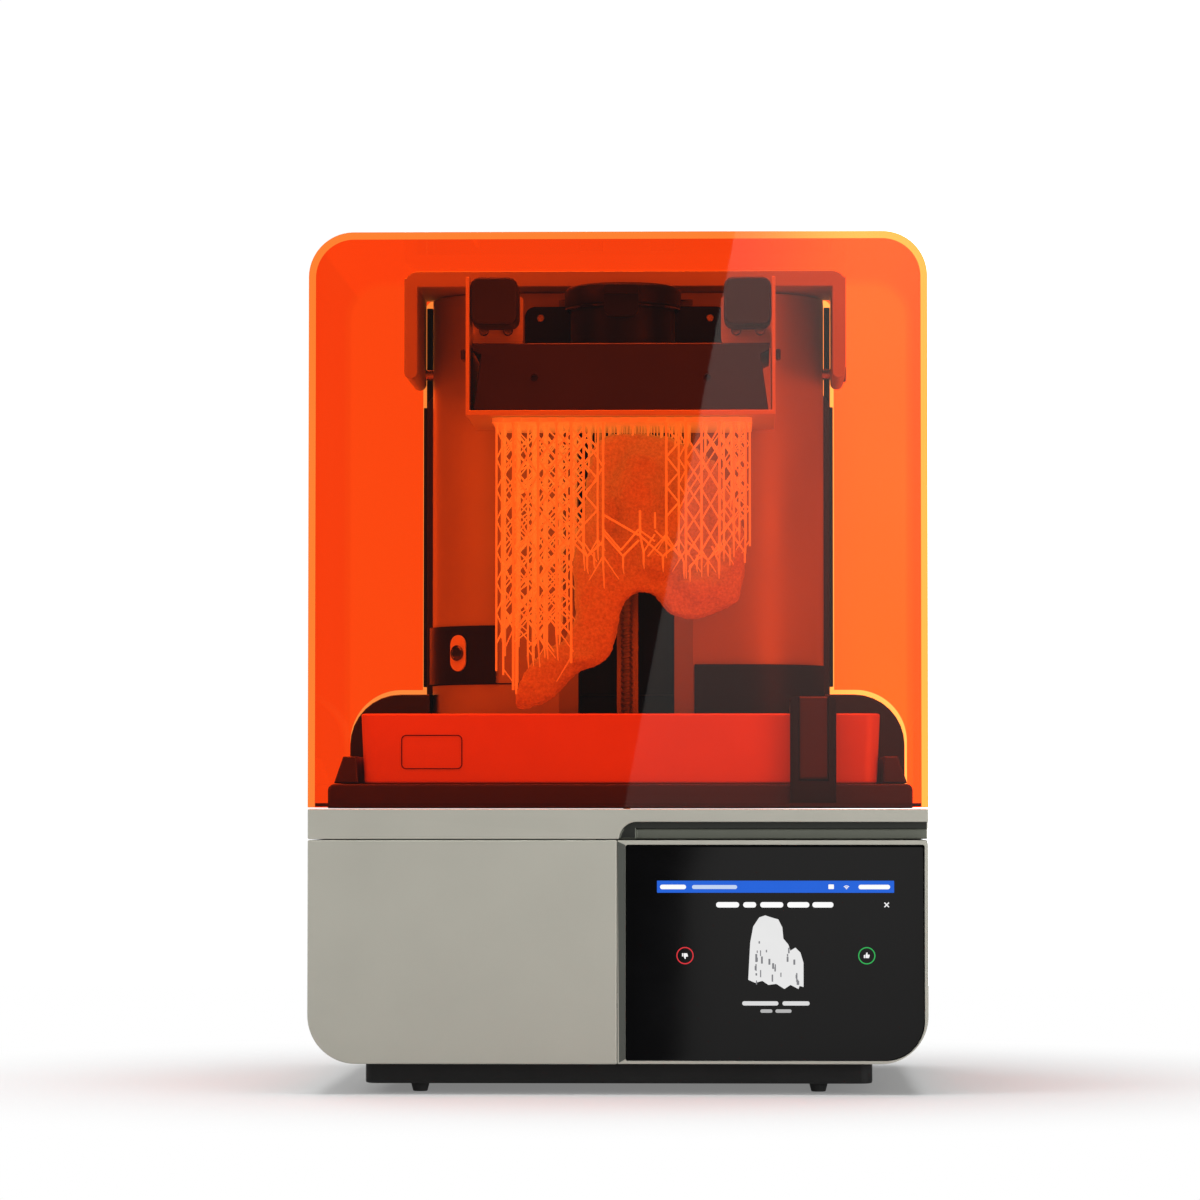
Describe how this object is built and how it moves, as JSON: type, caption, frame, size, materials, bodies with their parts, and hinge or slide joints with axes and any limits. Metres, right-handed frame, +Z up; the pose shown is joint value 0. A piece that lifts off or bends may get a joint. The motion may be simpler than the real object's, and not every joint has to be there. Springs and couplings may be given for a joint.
{
  "type": "resin 3d printer",
  "caption": "Boxy desktop resin printer: pale metal base with a tilted touch screen, a hinged translucent orange cover, a tower, a hanging build platform and a resin tank.",
  "frame": {"origin": "middle of the footprint at floor level", "axes": "+Z up, +X to the right seen from the front, the screen faces -Y"},
  "size_m": [0.398, 0.367, 0.554],
  "materials": {
    "champagne_paint": "satin",
    "black_plastic": "fine grain",
    "gloss_black": "polished",
    "screen_glass": "polished",
    "display": "lit",
    "orange_cover": "polished, tinted",
    "lens_glass": "polished",
    "aluminium": "brushed",
    "steel": "ground",
    "brass": "machined",
    "grey_paint": "fine texture",
    "brown_plastic": "fine grain",
    "tank_plastic": "satin",
    "film": "clear film",
    "rubber": "matt",
    "circuit": "printed board",
    "white_plastic": "satin",
    "cured_resin": "satin"
  },
  "bodies": {
    "chassis": {"base_rim": "champagne_paint", "camera_band": "gloss_black", "camera_lens": "gloss_black", "chassis_plinth": "black_plastic", "collimating_lens": "lens_glass", "fan_frame": "black_plastic", "foot_front_left": "rubber", "foot_front_right": "rubber", "foot_rear_left": "rubber", "foot_rear_right": "rubber", "heat_sink": "aluminium", "heater_box": "black_plastic", "hinge_pin_left": "steel", "hinge_pin_right": "steel", "lcd_mask_panel": "gloss_black", "led_backlight": "white_plastic", "light_shroud": "black_plastic", "linear_rail": "steel", "lower_housing": "champagne_paint", "main_board": "circuit", "network_port": "steel", "power_inlet": "black_plastic", "power_supply": "steel", "rear_base_panel": "black_plastic", "rear_housing": "black_plastic", "resin_tank": "tank_plastic", "screen_bezel": "champagne_paint", "screen_glass": "screen_glass", "switch_frame": "black_plastic", "tank_film": "film", "tank_guide_left": "brown_plastic", "tank_guide_right": "brown_plastic", "touch_display": "display", "tower_housing": "grey_paint", "tray_deck": "brown_plastic", "upper_bearing": "aluminium", "usb_port": "steel", "z_motor": "aluminium"},
    "cover": {"cover_shell": "orange_cover", "hinge_yoke": "grey_paint"},
    "lift": {"z_carriage": "aluminium", "rail_block": "steel", "lead_nut": "brass", "platform_arm": "aluminium", "platform_hub": "black_plastic", "platform_body": "brown_plastic", "platform_plate": "aluminium", "grip_left": "black_plastic", "grip_right": "black_plastic", "bracket_left": "aluminium", "bracket_right": "aluminium", "printed_model": "cured_resin"},
    "latch": {"hub_latch": "gloss_black"},
    "screw": {"lead_screw": "steel", "motor_coupling": "aluminium"},
    "mixer": {"mixer_bracket": "black_plastic", "mixer_blade": "white_plastic"},
    "lever": {"mixer_lever": "brown_plastic"},
    "switch": {"power_switch": "gloss_black"},
    "fan": {"fan_rotor": "black_plastic"}
  },
  "joints": [
    {"name": "cover_hinge", "type": "hinge", "parent": "chassis", "child": "cover", "pos_m": [0, 0.088, 0.486], "axis": [-1, 0, 0], "range_deg": [0, 80]},
    {"name": "lift_slide", "type": "slide", "parent": "chassis", "child": "lift", "axis": [0, 0, 1], "range_m": [-0.038, 0.003]},
    {"name": "screw_spin", "type": "hinge", "parent": "chassis", "child": "screw", "pos_m": [0, 0.06, 0.3], "axis": [0, 0, 1], "range_deg": [-3440, 290]},
    {"name": "latch_hinge", "type": "hinge", "parent": "lift", "child": "latch", "pos_m": [0, -0.091, 0.528], "axis": [-1, 0, 0], "range_deg": [0, 70]},
    {"name": "mixer_slide", "type": "slide", "parent": "chassis", "child": "mixer", "axis": [-1, 0, 0], "range_m": [0, 0.252]},
    {"name": "mixer_lever_hinge", "type": "hinge", "parent": "mixer", "child": "lever", "pos_m": [0.1263, -0.135, 0.2045], "axis": [1, 0, 0], "range_deg": [0, 20]},
    {"name": "switch_rocker", "type": "hinge", "parent": "chassis", "child": "switch", "pos_m": [-0.081, 0.1755, 0.072], "axis": [1, 0, 0], "range_deg": [-8, 8]},
    {"name": "fan_spin", "type": "hinge", "parent": "chassis", "child": "fan", "pos_m": [0.075, 0.167, 0.095], "axis": [0, 1, 0], "continuous": true}
  ],
  "couplings": [
    {"joint": "screw_spin", "follows": "lift_slide", "rad_per_m": 1570.8}
  ]
}
